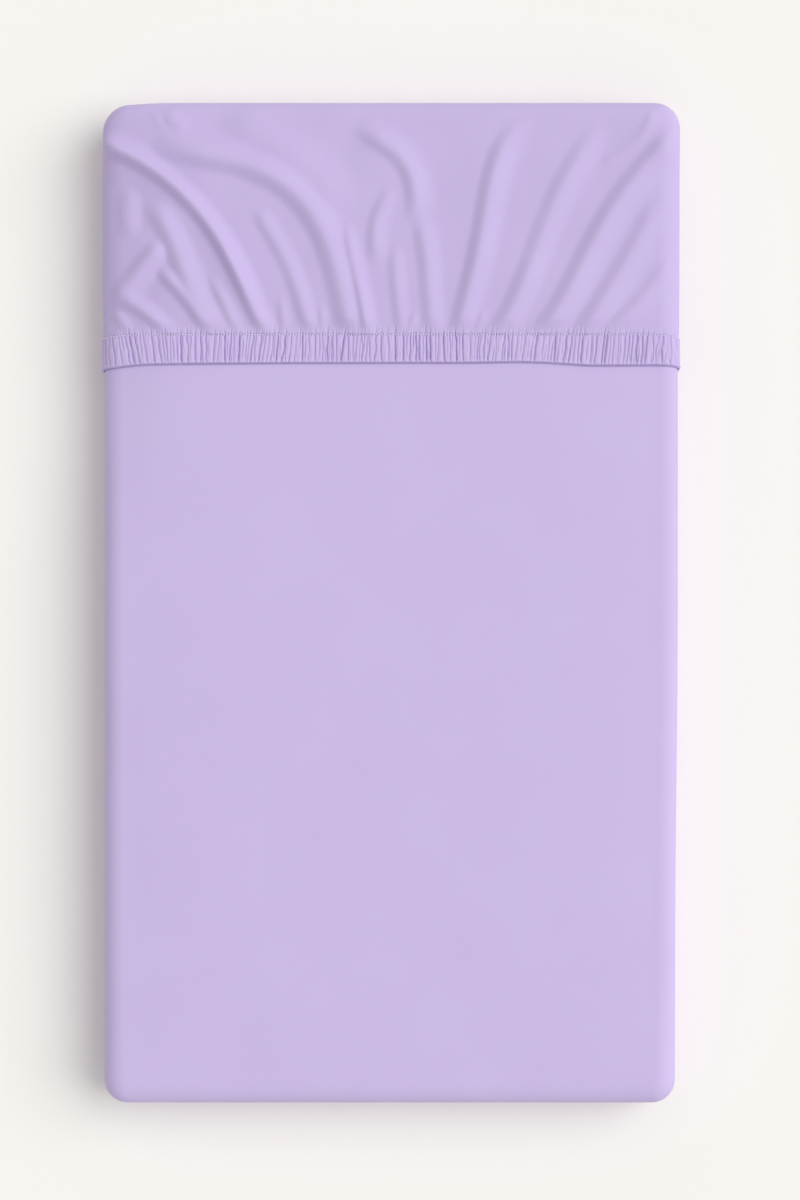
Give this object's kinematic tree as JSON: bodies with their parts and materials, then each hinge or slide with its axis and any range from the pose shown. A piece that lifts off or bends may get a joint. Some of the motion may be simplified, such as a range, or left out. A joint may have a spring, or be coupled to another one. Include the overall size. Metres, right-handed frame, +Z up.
{
  "type": "fitted sheet on mattress",
  "caption": "Envelope fitted sheet on its small mattress: a smooth sleeve, and a slack folded hood turned over the head end, drawn in by a ruched elastic band across its mouth.",
  "frame": {"origin": "on the surface the mattress lies on, under the middle of the whole thing", "axes": "+Z up out of the sleeping surface, +Y towards the head end with the hood, +X to the right seen from above"},
  "size_m": [0.4852, 0.838, 0.0711],
  "materials": {
    "sheet_cloth": "soft matt lilac cotton, faint fine weave",
    "band_cloth": "the same lilac cotton, finely gathered over elastic",
    "mattress_cloth": "plain matt off-white ticking"
  },
  "bodies": {
    "root": {"sheet_sleeve": "sheet_cloth", "sheet_hood": "sheet_cloth", "elastic_band": "band_cloth", "mattress": "mattress_cloth"}
  },
  "joints": []
}
